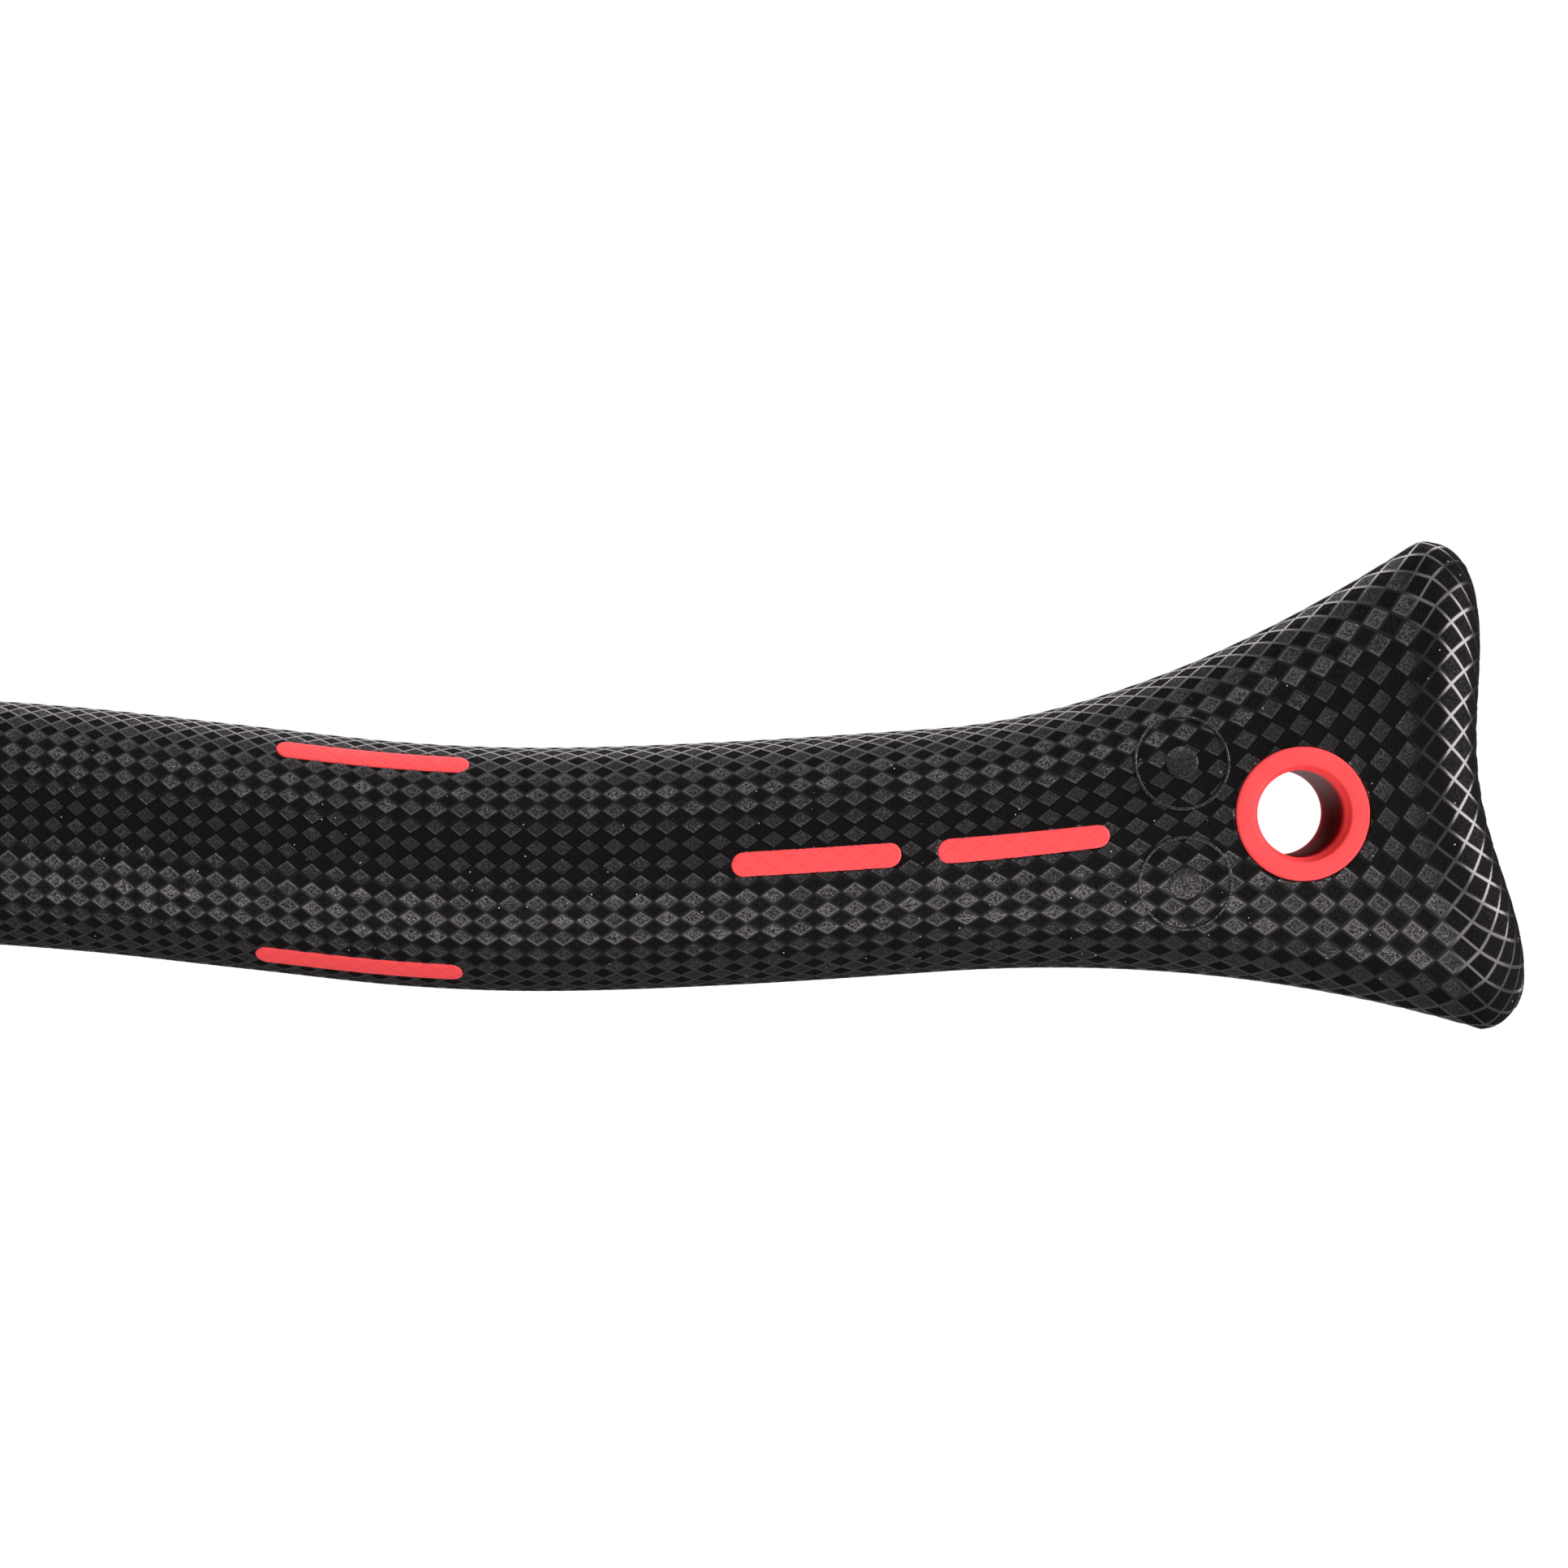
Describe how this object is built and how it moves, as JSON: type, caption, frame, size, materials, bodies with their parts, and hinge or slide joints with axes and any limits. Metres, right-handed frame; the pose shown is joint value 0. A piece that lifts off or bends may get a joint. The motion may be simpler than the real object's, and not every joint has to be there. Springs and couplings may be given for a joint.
{
  "type": "ice axe",
  "caption": "Short technical ice axe: bent oval shaft, soft overmoulded grip with flared pommel and lanyard eyelet, bolted toothed pick and adze.",
  "frame": {"origin": "middle of the gripping length, on the grip's centreline", "axes": "+X along the shaft to the pommel, +Z to the pick's side, Y across the axe"},
  "size_m": [0.5129, 0.054, 0.2445],
  "materials": {
    "rubber_black": "soft moulded elastomer with a fine diamond relief",
    "rubber_red": "soft coral-red elastomer inlay, same relief",
    "plastic_red": "satin coral-red moulding",
    "plastic_core": "hard under-moulding",
    "aluminium_anodised": "dark grey anodised, satin",
    "aluminium_forged": "forged and bead-blasted, grey anodised",
    "steel_brushed": "ground chromoly steel",
    "steel_dark": "black-oxide fastener steel"
  },
  "bodies": {
    "root": {"shaft_tube": "aluminium_anodised", "shaft_end_plug": "plastic_core", "grip_core": "plastic_core", "grip_skin": "rubber_black", "eyelet_bushing": "plastic_red", "inlay_pommel_near": "rubber_red", "inlay_pommel_far": "rubber_red", "inlay_middle_near": "rubber_red", "inlay_middle_far": "rubber_red", "inlay_upper_near": "rubber_red", "inlay_upper_far": "rubber_red", "inlay_lower_near": "rubber_red", "inlay_lower_far": "rubber_red", "head_body": "aluminium_forged", "pick": "steel_brushed", "adze": "steel_brushed", "front_bolt": "steel_dark", "front_washer": "steel_brushed", "front_nut": "steel_dark", "rear_bolt": "steel_dark", "rear_washer": "steel_brushed", "rear_nut": "steel_dark", "shaft_rivet_1": "steel_brushed", "shaft_rivet_2": "steel_brushed"}
  },
  "joints": []
}
